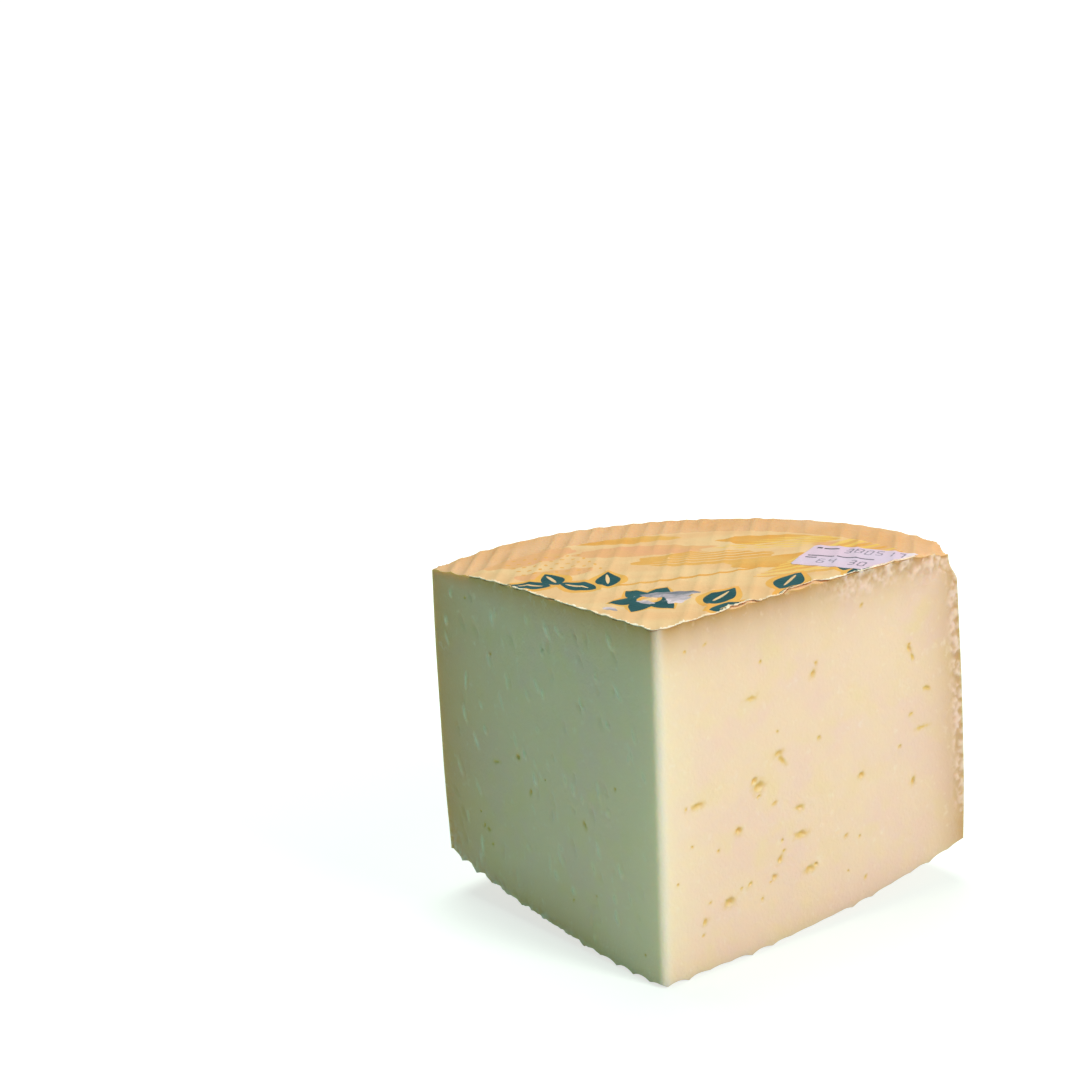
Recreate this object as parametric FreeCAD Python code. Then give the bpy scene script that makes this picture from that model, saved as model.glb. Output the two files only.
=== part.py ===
import FreeCAD, Part

import math
import os

# A hand-cut wedge, a little over a quarter, of a semi-cured pressed cheese wheel.
# Lengths are in millimetres and angles in degrees.  While the wedge is being built the
# wheel's axis is the Z axis, the wheel stands on Z = 0, and the wedge's near edge faces -Y.
# The flutes run along Y on both faces.

# The wheel it was cut from
WHEEL_HEIGHT = 100.0          # between the ridges of the two faces
RIM_RADIUS_TOP = 94.0         # rim beside the upper face
RIM_RADIUS_BELLY = 95.2       # rim where the wheel bulges most
RIM_RADIUS_FOOT = 94.0        # rim beside the lower face
BELLY_HEIGHT = 45.0
TOP_CORNER_RADIUS = 3.4
FOOT_CORNER_RADIUS = 5.4
CORNER_RUN_OUT = 0.4          # the corners end this far beyond the ridges, which fade into them

# The two faces: round flutes with a ridge between each two, laid on a shallow crown
RIDGE_PITCH = 5.2
TOP_FLUTE_DEPTH = 0.6
FOOT_FLUTE_DEPTH = 1.0
TOP_FLAT_HALF_WIDTH = 41.0    # the upper face falls away outside this
TOP_FALL = 1.9                # how far it has fallen at the end of the cuts
FOOT_FLAT_HALF_WIDTH = 11.0   # the wedge rests inside this
FOOT_RISE = 10.5              # how far the lower face has risen at the end of the cuts

# The two knife cuts.  They stop short of the wheel's centre and meet in a near edge that
# leans a little as it goes down.
HALF_ANGLE = 46.3
NEAR_EDGE_X = -1.3            # the near edge at the upper face
NEAR_EDGE_Y = -12.7
NEAR_EDGE_LEAN_X = -4.7       # how far it has moved where it meets the board
NEAR_EDGE_LEAN_Y = -0.5
NEAR_EDGE_RADIUS = 2.5

# Small eyes in the paste that the knife opened
EYES_ON_A_CUT = 7
EYE_RADIUS_LEAST = 0.7
EYE_RADIUS_MOST = 1.7
EYE_SINK = 0.35               # depth of an eye's centre behind the cut, as a share of its radius
EYE_MARGIN = 13.0             # solid paste left along the edges of a cut

# The paper label on the upper face, cut through with the cheese
LABEL_RADIUS = 77.5
LABEL_THICKNESS = 0.25
LABEL_OFFSET_X = 2.4          # the label was laid a little off the wheel's axis
LABEL_OFFSET_Y = 0.0

# The small date sticker on the label
STICKER_LENGTH = 31.0
STICKER_WIDTH = 18.5
STICKER_THICKNESS = 0.15
STICKER_CORNER_X = 35.0       # its left corner towards the rim
STICKER_CORNER_Y = 59.5
STICKER_TURN = -19.0
STICKER_CORNER_RADIUS = 1.5

CUT_OVERRUN = 10.0            # how far tools reach past the solid they cut


def point(x, y, z):
    return FreeCAD.Vector(x, y, z)


def line(start, end):
    return Part.LineSegment(start, end).toShape()


def arc(start, middle, end):
    return Part.Arc(start, middle, end).toShape()


def cut_direction(side):
    """Direction of a cut in plan, from the near edge: side is -1 for left, 1 for right."""
    half_angle = math.radians(HALF_ANGLE)
    return point(side * math.sin(half_angle), math.cos(half_angle), 0)


def near_edge(height):
    """The near edge where it passes a height."""
    lean = 1 - height / WHEEL_HEIGHT
    x = NEAR_EDGE_X + NEAR_EDGE_LEAN_X * lean
    y = NEAR_EDGE_Y + NEAR_EDGE_LEAN_Y * lean
    return point(x, y, height)


def cut_length(side, height, rim_radius):
    """Length of a cut from the near edge to the rim at a height."""
    corner = near_edge(height)
    corner.z = 0
    along = corner.dot(cut_direction(side))
    return math.sqrt(along ** 2 - corner.dot(corner) + rim_radius ** 2) - along


def cut_half_width():
    """How far from the middle the cuts reach at the upper face."""
    reach = cut_length(1, WHEEL_HEIGHT, RIM_RADIUS_TOP)
    return (near_edge(WHEEL_HEIGHT) + cut_direction(1) * reach).x


def foot_level(x):
    """Height of the lower face's crown at a distance x from the middle of the wheel."""
    outside = max(0.0, abs(x) - FOOT_FLAT_HALF_WIDTH)
    return FOOT_RISE * (outside / (cut_half_width() - FOOT_FLAT_HALF_WIDTH)) ** 2


def top_level(x):
    """Height of the upper face's crown at a distance x from the middle of the wheel."""
    outside = max(0.0, abs(x) - TOP_FLAT_HALF_WIDTH)
    return WHEEL_HEIGHT - TOP_FALL * (outside / (cut_half_width() - TOP_FLAT_HALF_WIDTH)) ** 2


def flutes_each_side():
    widest = max(RIM_RADIUS_TOP, RIM_RADIUS_BELLY, RIM_RADIUS_FOOT)
    return int(math.ceil(widest / RIDGE_PITCH)) + 1


def fluted_line(level, depth, y):
    """One arc for each flute, its ends on the ridges, from -X to +X.  Depth is along Z."""
    edges = []
    count = flutes_each_side()
    for number in range(-count, count):
        left = number * RIDGE_PITCH
        right = left + RIDGE_PITCH
        bottom = (left + right) / 2
        start = point(left, y, level(left))
        middle = point(bottom, y, level(bottom) + depth)
        end = point(right, y, level(right))
        edges.append(arc(start, middle, end))
    return edges


def slab(lower_edges, upper_edges, length):
    """The solid between two fluted lines, extruded along the flutes."""
    lower_start = lower_edges[0].Vertexes[0].Point
    lower_end = lower_edges[-1].Vertexes[-1].Point
    upper_start = upper_edges[0].Vertexes[0].Point
    upper_end = upper_edges[-1].Vertexes[-1].Point
    sides = [line(lower_end, upper_end), line(lower_start, upper_start)]
    outline = Part.Wire(Part.__sortEdges__(lower_edges + upper_edges + sides))
    return Part.Face(outline).extrude(point(0, length, 0))


def fluted_block():
    """A block as high as the wheel whose two faces carry the flutes."""
    back = -2 * RIM_RADIUS_BELLY
    lower = fluted_line(foot_level, FOOT_FLUTE_DEPTH, back)
    upper = fluted_line(top_level, -TOP_FLUTE_DEPTH, back)
    return slab(lower, upper, -2 * back)


def sheet_on_flutes(lift, thickness):
    """A sheet that follows the upper flutes, its underside lifted above them."""
    back = -2 * RIM_RADIUS_BELLY
    lower = fluted_line(lambda x: top_level(x) + lift, -TOP_FLUTE_DEPTH, back)
    upper = fluted_line(lambda x: top_level(x) + lift + thickness, -TOP_FLUTE_DEPTH, back)
    return slab(lower, upper, -2 * back)


def wheel_body():
    """The wheel's rim with its rounded corners, turned about the axis."""
    diagonal = math.sqrt(0.5)
    top = WHEEL_HEIGHT + CORNER_RUN_OUT
    foot = -CORNER_RUN_OUT
    top_centre = point(RIM_RADIUS_TOP - TOP_CORNER_RADIUS, 0, top - TOP_CORNER_RADIUS)
    foot_centre = point(RIM_RADIUS_FOOT - FOOT_CORNER_RADIUS, 0, foot + FOOT_CORNER_RADIUS)
    top_inner = top_centre + point(0, 0, TOP_CORNER_RADIUS)
    top_middle = top_centre + point(diagonal, 0, diagonal) * TOP_CORNER_RADIUS
    top_outer = top_centre + point(TOP_CORNER_RADIUS, 0, 0)
    belly = point(RIM_RADIUS_BELLY, 0, BELLY_HEIGHT)
    foot_outer = foot_centre + point(FOOT_CORNER_RADIUS, 0, 0)
    foot_middle = foot_centre + point(diagonal, 0, -diagonal) * FOOT_CORNER_RADIUS
    foot_inner = foot_centre - point(0, 0, FOOT_CORNER_RADIUS)
    axis_top = point(0, 0, WHEEL_HEIGHT + CUT_OVERRUN)
    axis_foot = point(0, 0, -CUT_OVERRUN)
    profile = Part.Wire([
        line(axis_top, top_inner),
        arc(top_inner, top_middle, top_outer),
        arc(top_outer, belly, foot_outer),
        arc(foot_outer, foot_middle, foot_inner),
        line(foot_inner, axis_foot),
        line(axis_foot, axis_top),
    ])
    return Part.Face(profile).revolve(point(0, 0, 0), point(0, 0, 1), 360)


def cut_outline(height):
    """The wedge in plan at a height, well past the rim, with its near edge rounded."""
    reach = 2.5 * RIM_RADIUS_BELLY
    half_angle = math.radians(HALF_ANGLE)
    run = NEAR_EDGE_RADIUS / math.tan(half_angle)
    nose = NEAR_EDGE_RADIUS / math.sin(half_angle) - NEAR_EDGE_RADIUS
    corner = near_edge(height)
    left_end = corner + cut_direction(-1) * reach
    right_end = corner + cut_direction(1) * reach
    left_start = corner + cut_direction(-1) * run
    right_start = corner + cut_direction(1) * run
    return Part.Wire([
        line(left_end, left_start),
        arc(left_start, corner + point(0, nose, 0), right_start),
        line(right_start, right_end),
        line(right_end, left_end),
    ])


def knife_cuts():
    """Everything between the two knife cuts, ruled from foot to top."""
    lower = cut_outline(-CUT_OVERRUN)
    upper = cut_outline(WHEEL_HEIGHT + CUT_OVERRUN)
    return Part.makeLoft([lower, upper], True, True)


def eyes(side):
    """Balls that open the eyes of one cut, scattered over it by irrational steps."""
    golden = (math.sqrt(5) - 1) / 2
    start = 0.5 + 0.3 * side
    edge_slope = near_edge(0) - near_edge(WHEEL_HEIGHT)
    outward = cut_direction(side).cross(edge_slope).normalize() * side
    balls = []
    for number in range(1, EYES_ON_A_CUT + 1):
        across = (start + number * golden) % 1
        up = (start + number * math.sqrt(2)) % 1
        size = (start + number * math.sqrt(3)) % 1
        radius = EYE_RADIUS_LEAST + (EYE_RADIUS_MOST - EYE_RADIUS_LEAST) * size ** 2
        height = EYE_MARGIN + FOOT_RISE / 2 + up * (WHEEL_HEIGHT - 2 * EYE_MARGIN - FOOT_RISE / 2)
        room = cut_length(side, height, RIM_RADIUS_TOP) - 2 * EYE_MARGIN
        on_cut = near_edge(height) + cut_direction(side) * (EYE_MARGIN + across * room)
        balls.append(Part.makeSphere(radius, on_cut - outward * (EYE_SINK * radius)))
    return balls


def wedge_solid(kept):
    block = wheel_body().common(fluted_block()).common(kept)
    return block.cut(eyes(-1) + eyes(1))


def label_solid(kept):
    """The round label, pressed down into the flutes and cut through with the cheese."""
    base = point(LABEL_OFFSET_X, LABEL_OFFSET_Y, WHEEL_HEIGHT / 2)
    disc = Part.makeCylinder(LABEL_RADIUS, WHEEL_HEIGHT, base)
    return sheet_on_flutes(0, LABEL_THICKNESS).common(disc).common(kept)


def sticker_solid(kept):
    """The date sticker on the label, one corner lost to the knife."""
    block = Part.makeBox(STICKER_LENGTH, STICKER_WIDTH, WHEEL_HEIGHT, point(0, -STICKER_WIDTH, 0))
    upright = [edge for edge in block.Edges if abs(edge.Vertexes[0].Z - edge.Vertexes[1].Z) > 1]
    block = block.makeFillet(STICKER_CORNER_RADIUS, upright)
    block.rotate(point(0, 0, 0), point(0, 0, 1), STICKER_TURN)
    block.translate(point(STICKER_CORNER_X, STICKER_CORNER_Y, WHEEL_HEIGHT / 2))
    return sheet_on_flutes(LABEL_THICKNESS, STICKER_THICKNESS).common(block).common(kept)


def single_solid(shape, name):
    if len(shape.Solids) != 1:
        raise ValueError(name + " came out as " + str(len(shape.Solids)) + " solids")
    return shape.Solids[0]


def main():
    kept = knife_cuts()
    pieces = {
        "cheese_wedge": single_solid(wedge_solid(kept), "cheese_wedge"),
        "top_label": single_solid(label_solid(kept), "top_label"),
        "date_sticker": single_solid(sticker_solid(kept), "date_sticker"),
    }
    # The origin is the middle of the box round the whole wedge, on the board.
    box = Part.makeCompound(list(pieces.values())).optimalBoundingBox(False, False)
    origin = point((box.XMin + box.XMax) / 2, (box.YMin + box.YMax) / 2, box.ZMin)
    os.makedirs("parts", exist_ok=True)
    for name, piece in pieces.items():
        piece.translate(-origin)
        piece.exportStep("parts/" + name + ".step")
        print(name, round(piece.Volume, 1), "mm3, valid", piece.isValid())
    print("wheel axis at", round(-origin.x, 3), round(-origin.y, 3))
    print("size", round(box.XLength, 2), round(box.YLength, 2), round(box.ZLength, 2))


main()
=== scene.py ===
import math
import random

import bpy
import numpy as np
from mathutils import Euler, Matrix, Vector, geometry, noise


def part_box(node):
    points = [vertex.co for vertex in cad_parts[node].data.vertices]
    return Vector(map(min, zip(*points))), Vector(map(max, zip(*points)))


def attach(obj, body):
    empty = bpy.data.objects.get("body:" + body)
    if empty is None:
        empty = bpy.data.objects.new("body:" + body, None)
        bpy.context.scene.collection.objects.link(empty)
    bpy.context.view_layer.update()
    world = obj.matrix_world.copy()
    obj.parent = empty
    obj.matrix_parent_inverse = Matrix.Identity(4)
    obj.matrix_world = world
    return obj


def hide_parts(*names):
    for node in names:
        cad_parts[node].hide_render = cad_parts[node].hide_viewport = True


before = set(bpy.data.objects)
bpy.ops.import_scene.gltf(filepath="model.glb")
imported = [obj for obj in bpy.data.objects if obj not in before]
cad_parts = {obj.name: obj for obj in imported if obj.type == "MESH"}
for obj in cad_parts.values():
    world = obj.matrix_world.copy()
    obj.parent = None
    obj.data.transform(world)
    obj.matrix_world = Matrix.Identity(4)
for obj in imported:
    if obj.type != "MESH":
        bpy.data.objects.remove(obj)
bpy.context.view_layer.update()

# The view, the light and the table.  The wedge stands on a plain white table with its near
# edge towards the viewer.  A broad warm lamp stands at the right and lights the right cut;
# the left cut lies in its own shade and gets the cool light of the room.
MM = 0.001
CAMERA_SENSOR = 36
CAMERA_LENS = 83.34
CAMERA_REACH = (0.05, 20)
CAMERA_PLACE = Vector((90.46, -652.92, 295.72)) * MM
CAMERA_TURN = (74.37, 0, 11.11)
CAMERA_TILT = -5.115
WEDGE_MIDDLE = (0, 0, 0.05)
WEDGE_FOOT = (0, -0.054, 0.02)
# Lamps: name, place, aim and width in metres, power, and the colour of the light.
LAMPS = [
    ("sun_side", (1.55, -0.95, 1.0), WEDGE_MIDDLE, 0.5, 34.5, (1.0, 0.935, 0.93)),
    ("shade_side", (-1.6, -0.45, 0.35), WEDGE_MIDDLE, 0.5, 2.4, (0.1, 1.0, 0.84)),
    ("above", (-0.2, 0.7, 1.8), WEDGE_MIDDLE, 1.3, 27, (1.0, 0.97, 0.93)),
    ("off_the_table", (-0.045, -0.14, 0.008), WEDGE_FOOT, 0.06, 0.012, (1.0, 0.95, 0.75)),
]
ROOM_LIGHT = (0.25, 1.0, 0.88, 1)
ROOM_STRENGTH = 0.15
WHITE = (1, 1, 1, 1)
TABLE_HALF_WIDTH = 6
TABLE_COLOUR = (168, 182, 176)
TABLE_ROUGHNESS = 0.9
# The table's painted glow, which lights the cheese from below: its colour and strength.
TABLE_GLOW_COLOUR = (1.0, 0.95, 0.72, 1)
TABLE_GLOW_STRENGTH = 0.06
# The table looks white to the camera: it glows a little under the cheese, where a shadow
# has to show, and more from there outwards.
GLOW_DISTANCES = (0.12, 0.6)
GLOW_STRENGTHS = (0.62, 1.0)


def put_in_scene(thing):
    bpy.context.scene.collection.objects.link(thing)


camera_data = bpy.data.cameras.new("camera")
camera_data.sensor_width = CAMERA_SENSOR
camera_data.lens = CAMERA_LENS
camera_data.clip_start, camera_data.clip_end = CAMERA_REACH
camera = bpy.data.objects.new("camera", camera_data)
put_in_scene(camera)
stand_place = Matrix.Translation(CAMERA_PLACE)
stand_turn = Euler([math.radians(angle) for angle in CAMERA_TURN]).to_matrix().to_4x4()
hand_tilt = Matrix.Rotation(math.radians(CAMERA_TILT), 4, "Z")
camera.matrix_world = stand_place @ stand_turn @ hand_tilt
bpy.context.scene.camera = camera
bpy.context.scene.view_settings.view_transform = "Standard"

for name, place, aim, width, power, tint in LAMPS:
    lamp_data = bpy.data.lights.new(name, "AREA")
    lamp_data.shape = "DISK"
    lamp_data.size = width
    lamp_data.energy = power
    lamp_data.color = tint
    lamp = bpy.data.objects.new(name, lamp_data)
    put_in_scene(lamp)
    lamp.location = place
    lamp.rotation_euler = (Vector(aim) - Vector(place)).to_track_quat("-Z", "Y").to_euler()


def link(tree, start, end):
    tree.links.new(start, end)


def new_node(tree, kind, *sources, **values):
    """A node of that kind: sources feed its first inputs, values are set on named ones."""
    made = tree.nodes.new("ShaderNode" + kind)
    for source, socket in zip(sources, made.inputs):
        link(tree, source, socket)
    for name, value in values.items():
        made.inputs[name.replace("_", " ")].default_value = value
    return made


def colour(red, green, blue):
    """A colour as it looks, 0 to 255, turned into the light that it gives back."""
    looks = [channel / 255 for channel in (red, green, blue)]
    return [c / 12.92 if c < 0.04045 else ((c + 0.055) / 1.055) ** 2.4 for c in looks] + [1]


world = bpy.data.worlds.new("room")
bpy.context.scene.world = world
world.use_nodes = True
tree = world.node_tree
room_light = tree.nodes["Background"]
room_light.inputs["Color"].default_value = ROOM_LIGHT
room_light.inputs["Strength"].default_value = ROOM_STRENGTH
backdrop = new_node(tree, "Background", Color=WHITE)
for_camera = new_node(tree, "LightPath").outputs["Is Camera Ray"]
both = room_light.outputs["Background"], backdrop.outputs["Background"]
seen = new_node(tree, "MixShader", for_camera, *both)
link(tree, seen.outputs["Shader"], tree.nodes["World Output"].inputs["Surface"])

table = bpy.data.objects.new("table", bpy.data.meshes.new("table"))
half = TABLE_HALF_WIDTH
corners = [(-half, -half, 0), (half, -half, 0), (half, half, 0), (-half, half, 0)]
table.data.from_pydata(corners, [], [(0, 1, 2, 3)])
put_in_scene(table)
table_paint = bpy.data.materials.new("table_paint")
table_paint.use_nodes = True
tree = table_paint.node_tree
coat = tree.nodes["Principled BSDF"]
coat.inputs["Base Color"].default_value = colour(*TABLE_COLOUR)
coat.inputs["Roughness"].default_value = TABLE_ROUGHNESS
distance = new_node(tree, "VectorMath", new_node(tree, "NewGeometry").outputs["Position"])
distance.operation = "LENGTH"
glow_there = new_node(
    tree, "MapRange", distance.outputs["Value"],
    From_Min=GLOW_DISTANCES[0], From_Max=GLOW_DISTANCES[1],
    To_Min=GLOW_STRENGTHS[0], To_Max=GLOW_STRENGTHS[1],
)
for_camera = new_node(tree, "LightPath").outputs["Is Camera Ray"]
glow_seen = new_node(tree, "Math", for_camera, glow_there.outputs["Result"])
glow_seen.operation = "MULTIPLY"
glow = new_node(tree, "Emission")
link(tree, glow_seen.outputs["Value"], glow.inputs["Strength"])
# The table also glows faintly for every ray: a painted light that lifts the cheese from below and
# casts no shadow.
glow_on_cheese = new_node(tree, "Emission", Color=TABLE_GLOW_COLOUR, Strength=TABLE_GLOW_STRENGTH)
glowing = new_node(tree, "AddShader", coat.outputs["BSDF"], glow.outputs["Emission"])
table_look = new_node(tree, "AddShader", glowing.outputs["Shader"], glow_on_cheese.outputs["Emission"])
link(tree, table_look.outputs["Shader"], tree.nodes["Material Output"].inputs["Surface"])
table.data.materials.append(table_paint)

# The cheese.  A pressed wheel of semi-cured cheese was cut by hand with a long knife, and
# this is a little over a quarter of it.  The paste is firm and moist, with small torn eyes;
# the rind carries the flutes of the mould on both faces.
# Sizes are in millimetres, heights from the table, and places from the wheel's axis.
WHEEL_HEIGHT = 100
RIM_RADIUS = 94
BELLY_BULGE = 1.2
BELLY_HEIGHT = 45
TOP_CORNER = 3.4
FOOT_CORNER = 5.4
CORNER_RUN_OUT = 0.4
RIM_SLACK = 0.02
TOP_FLAT_HALF_WIDTH = 41
TOP_FALL = 1.9
FOOT_FLAT_HALF_WIDTH = 11
FOOT_RISE = 10.5
# The two cuts: where they meet on the upper face, and how far that edge leans at the foot.
CUT_HALF_WIDTH = 73.6
HALF_ANGLE = math.radians(46.3)
WEDGE_OFF_AXIS = 1.58
NEAR_EDGE = np.array([-1.3, -12.7])
NEAR_EDGE_LEAN = np.array([-4.7, -0.5])
NEAR_EDGE_RADIUS = 2.5
NEAR_EDGE_RUN = NEAR_EDGE_RADIUS / math.tan(HALF_ANGLE)
NEAR_EDGE_ARC = NEAR_EDGE_RADIUS * (math.pi / 2 - HALF_ANGLE)
# The flutes, and how much of a ridge is worn off, from none, 0, to all, 1.
RIDGE_PITCH = 5.2
TOP_FLUTE_DEPTH = 0.6
FOOT_FLUTE_DEPTH = 1.0
TOP_SEED = 1
FOOT_SEED = 2
RIDGES_DIFFER = 9.1
WEAR_LENGTH = 30
WEAR = 0.1
WEAR_VARIES = 1.8
WEAR_AT_RIGHT = 0.4
WORN_RIGHT_SIDE = (12, 30)
WEAR_MOST = 0.85
# How finely the skin is divided.
CUT_GRAIN = 0.72
EDGE_GRAIN = 0.45
RIM_COLUMNS = 124
RIM_ROWS = 128
CORNER_STEPS = 10
COLUMNS_PER_RIDGE = 6
ALL_RIDGES = (-16, 16)
HEIGHT_ROUNDS = 5
SEEDS_APART = (17.3, 5.9, 11.1)

cheese_low, cheese_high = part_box("cheese_wedge")
wheel_axis = np.array([
    (cheese_low.x + cheese_high.x) / 2 / MM + WEDGE_OFF_AXIS,
    cheese_high.y / MM - RIM_RADIUS - BELLY_BULGE - RIM_SLACK,
    0,
])


def ease(value, start, end):
    """0 before start, 1 after end, and a smooth step between them."""
    t = np.clip((value - start) / (end - start), 0, 1)
    return t * t * (3 - 2 * t)


def cloud(points, size, seed):
    """Soft lumps of about that size, between -1 and 1, through the space of the points."""
    shift = Vector([seed * apart for apart in SEEDS_APART])
    return np.array([noise.noise(Vector(p) / size + shift) for p in points])


def flute(x, y, depth, seed):
    """How far a fluted face lies under its ridges: some are worn, most of all on the right."""
    number = np.floor(x / RIDGE_PITCH)
    from_middle = (x / RIDGE_PITCH - number) * 2 - 1
    ridge = number + (from_middle > 0)
    places = np.stack([ridge * RIDGES_DIFFER, y / WEAR_LENGTH, np.zeros_like(y)], 1)
    worn = WEAR + cloud(places, 1, seed) * WEAR_VARIES + WEAR_AT_RIGHT * ease(x, *WORN_RIGHT_SIDE)
    return depth * (1 - (1 - np.clip(worn, 0, WEAR_MOST)) * from_middle ** 2)


def flute_grid(ridges, rows):
    """Places in columns along the flutes, between two ridges by number."""
    columns = np.arange(*ridges, 1 / COLUMNS_PER_RIDGE) * RIDGE_PITCH
    return np.stack([a.ravel() for a in np.meshgrid(columns, rows, indexing="ij")], 1)


def top_height(x, y):
    outside = np.maximum(0, abs(x) - TOP_FLAT_HALF_WIDTH)
    crown = TOP_FALL * (outside / (CUT_HALF_WIDTH - TOP_FLAT_HALF_WIDTH)) ** 2
    over = np.clip(np.hypot(x, y) - RIM_RADIUS + TOP_CORNER, 0, TOP_CORNER)
    corner = WHEEL_HEIGHT + CORNER_RUN_OUT - TOP_CORNER + np.sqrt(TOP_CORNER ** 2 - over ** 2)
    return np.minimum(WHEEL_HEIGHT - crown - flute(x, y, TOP_FLUTE_DEPTH, TOP_SEED), corner)


def foot_height(x, y):
    outside = np.maximum(0, abs(x) - FOOT_FLAT_HALF_WIDTH)
    crown = FOOT_RISE * (outside / (CUT_HALF_WIDTH - FOOT_FLAT_HALF_WIDTH)) ** 2
    over = np.clip(np.hypot(x, y) - RIM_RADIUS + FOOT_CORNER, 0, FOOT_CORNER)
    corner = FOOT_CORNER - CORNER_RUN_OUT - np.sqrt(FOOT_CORNER ** 2 - over ** 2)
    return np.maximum(crown + flute(x, y, FOOT_FLUTE_DEPTH, FOOT_SEED), corner)


low_rim = FOOT_CORNER - CORNER_RUN_OUT
high_rim = WHEEL_HEIGHT + CORNER_RUN_OUT - TOP_CORNER


def rim_radius(z):
    """The rim bulges most a little under half way up."""
    reach = np.where(z > BELLY_HEIGHT, high_rim - BELLY_HEIGHT, BELLY_HEIGHT - low_rim)
    return RIM_RADIUS + BELLY_BULGE * (1 - ((z - BELLY_HEIGHT) / reach) ** 2)


def near_edge(z):
    lean = 1 - np.asarray(z, float)[..., None] / WHEEL_HEIGHT
    return NEAR_EDGE + NEAR_EDGE_LEAN * lean


def cut_way(side):
    """The direction in which the left (-1) or right (1) cut runs from the near edge."""
    return np.array([side * math.sin(HALF_ANGLE), math.cos(HALF_ANGLE)])


def cut_facing(side):
    """The direction in which a cut faces."""
    return np.array([side * math.cos(HALF_ANGLE), -math.sin(HALF_ANGLE)])


def cut_length(side, z, radius):
    """Length of a cut, from where its planes would meet, to a distance from the wheel's axis."""
    corner = near_edge(z)
    start = corner @ cut_way(side)
    return np.sqrt(start ** 2 - (corner ** 2).sum(-1) + radius ** 2) - start


def along_cuts(u, z):
    """A place on the cuts: u runs from the left cut round the near edge and on to the right."""
    side = np.sign(u)
    straight = np.maximum(np.abs(u) - NEAR_EDGE_ARC, 0)
    turn = np.clip(u / NEAR_EDGE_RADIUS, HALF_ANGLE - math.pi / 2, math.pi / 2 - HALF_ANGLE)
    centre = near_edge(z) + np.array([0, NEAR_EDGE_RADIUS / math.sin(HALF_ANGLE)])
    x = centre[..., 0] + NEAR_EDGE_RADIUS * np.sin(turn) + side * straight * math.sin(HALF_ANGLE)
    y = centre[..., 1] - NEAR_EDGE_RADIUS * np.cos(turn) + straight * math.cos(HALF_ANGLE)
    return np.stack([x, y, np.asarray(z, float)], -1)


def u_of(side, distance):
    return side * (distance - NEAR_EDGE_RUN + NEAR_EDGE_ARC)


def rim_ends(z):
    return [u_of(side, cut_length(side, z, rim_radius(z))) for side in (-1, 1)]


def face_edge(height, level, corner):
    """The line where the cuts meet a fluted face, from the left end of the rim to the right."""
    ends = {}
    for side in (-1, 1):
        z = np.full(CORNER_STEPS, float(level))
        for _ in range(HEIGHT_ROUNDS):
            corner_start = np.maximum(rim_radius(z), RIM_RADIUS) - corner
            radii = corner_start + corner * np.sin(np.linspace(0, math.pi / 2, CORNER_STEPS))
            u = u_of(side, cut_length(side, z, radii))
            place = along_cuts(u, z)
            z = height(place[:, 0], place[:, 1])
        ends[side] = u
    inner = np.arange(ends[-1][0] + EDGE_GRAIN, ends[1][0] - EDGE_GRAIN / 2, EDGE_GRAIN)
    u = np.concatenate([ends[-1][::-1], inner, ends[1]])
    z = np.full_like(u, level)
    for _ in range(HEIGHT_ROUNDS):
        place = along_cuts(u, z)
        z = height(place[:, 0], place[:, 1])
    return u, z


top_u, top_z = face_edge(top_height, WHEEL_HEIGHT, TOP_CORNER)
foot_u, foot_z = face_edge(foot_height, 0, FOOT_CORNER)
rise = np.linspace(0, 1, RIM_ROWS + 1)
rim_z = [foot_z[end] + (top_z[end] - foot_z[end]) * rise for end in (0, -1)]
left_rim, right_rim = rim_ends(rim_z[0])[0], rim_ends(rim_z[1])[1]
left_rim[[0, -1]] = foot_u[0], top_u[0]
right_rim[[0, -1]] = foot_u[-1], top_u[-1]

# The holes and the marks of the knife.  The eyes that show most are listed one by one: side,
# distance from the near edge, height, half length, half width and turn of the long axis.
big_eyes = [
    (1, 22.5, 18, 1.7, 1.2, 20), (1, 47, 38, 1.2, 0.9, 10), (1, 26, 37.5, 1.2, 1.1, 40),
    (1, 33, 48, 2.0, 1.3, 25), (1, 31.5, 50.0, 1.2, 0.8, 40), (1, 41, 53.4, 1.7, 0.7, -50),
    (1, 40, 55.5, 1.5, 0.8, 10), (1, 50.5, 19, 1.7, 0.9, 0), (1, 52.6, 19.6, 0.8, 0.7, 0),
    (1, 38, 20.5, 0.9, 0.8, 0), (1, 40, 25, 1.2, 0.7, 60), (1, 14, 15, 1.1, 0.7, 55),
    (1, 69, 41, 1.0, 0.9, 0), (1, 88, 34, 1.1, 0.8, 70), (1, 91, 49, 2.0, 0.45, 0),
    (1, 86.2, 73.4, 1.2, 0.8, -65), (1, 87.6, 70.6, 1.2, 0.5, -60), (1, 52, 75, 1.1, 0.8, 60),
    (1, 93, 60, 1.2, 0.6, -30), (1, 12.5, 48.5, 1.9, 0.8, 5), (1, 47.5, 30, 1.9, 1.0, 0),
    (1, 53, 77.5, 0.7, 0.5, 90), (1, 31, 73.5, 1.6, 0.6, 0), (1, 29.5, 21, 0.8, 0.6, 30),
    (-1, 62.5, 50, 0.9, 0.8, 0), (-1, 57, 41, 1.0, 0.6, 75), (-1, 32.5, 38, 1.2, 0.6, 110),
    (-1, 78.5, 24, 0.8, 0.6, 0), (-1, 73, 46, 1.4, 0.45, 10),
]
RIGHT_PINHOLES = 26
LEFT_PINHOLES = 10
TEARS = 110
SMEARS = 44
MARK_HEIGHTS = (5, 94)
MARK_DISTANCES = (5, 98)
MARK_MARGIN = 4
MARK_FOOT_RISE = 8
EYE_DEPTH = 0.7
TEAR_HEIGHTS = (-0.45, 0.25, 0.5)
TEAR_GLOSS_AND_HIGHLIGHT = (0.3, 0.9)
SMEAR_HEIGHTS = (-0.1, 0.08, 0.14)
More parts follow.
